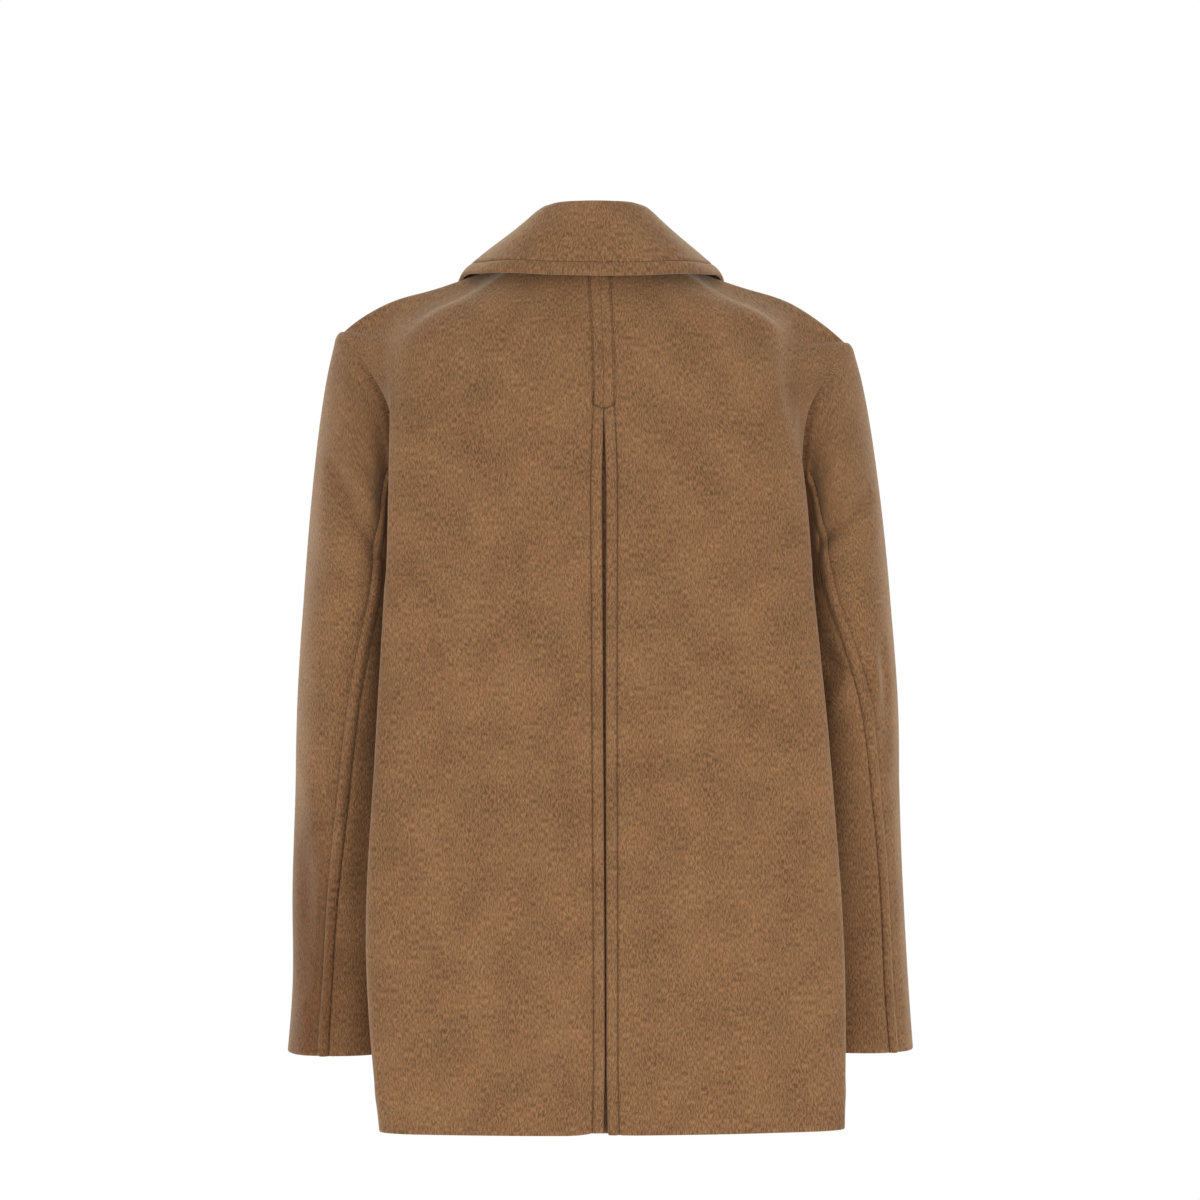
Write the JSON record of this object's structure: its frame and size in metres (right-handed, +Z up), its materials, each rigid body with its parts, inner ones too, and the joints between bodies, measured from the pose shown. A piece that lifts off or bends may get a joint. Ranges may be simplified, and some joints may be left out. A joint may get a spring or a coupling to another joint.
{
  "type": "double-breasted blazer",
  "caption": "Hip-length double-breasted wool coat jacket with a large folded collar, two-piece sleeves and an inverted back pleat, filled out as worn.",
  "frame": {"origin": "middle of the neck opening, at the height of the side neck points, where the wearer's shoulders hold the jacket", "axes": "+Z up, +X towards the wearer's left, -Y towards the wearer's front"},
  "size_m": [0.554, 0.29, 0.8006],
  "materials": {
    "back_left": "brushed wool with a short nap",
    "back_pleat_underlay": "brushed wool with a short nap",
    "back_right": "brushed wool with a short nap",
    "button_1": "satin horn",
    "button_2": "satin horn",
    "button_3": "satin horn",
    "button_4": "satin horn",
    "button_5": "satin horn",
    "button_6": "satin horn",
    "collar": "brushed wool with a short nap",
    "front_left": "brushed wool with a short nap",
    "front_right": "brushed wool with a short nap",
    "lapel_left": "brushed wool with a short nap",
    "lapel_right": "brushed wool with a short nap",
    "sleeve_top_left": "brushed wool with a short nap",
    "sleeve_top_right": "brushed wool with a short nap",
    "sleeve_under_left": "brushed wool with a short nap",
    "sleeve_under_right": "brushed wool with a short nap"
  },
  "bodies": {
    "root": {"back_left": "back_left", "back_pleat_underlay": "back_pleat_underlay", "back_right": "back_right", "button_1": "button_1", "button_2": "button_2", "button_3": "button_3", "button_4": "button_4", "button_5": "button_5", "button_6": "button_6", "collar": "collar", "front_left": "front_left", "front_right": "front_right", "lapel_left": "lapel_left", "lapel_right": "lapel_right", "sleeve_top_left": "sleeve_top_left", "sleeve_top_right": "sleeve_top_right", "sleeve_under_left": "sleeve_under_left", "sleeve_under_right": "sleeve_under_right"}
  },
  "joints": []
}
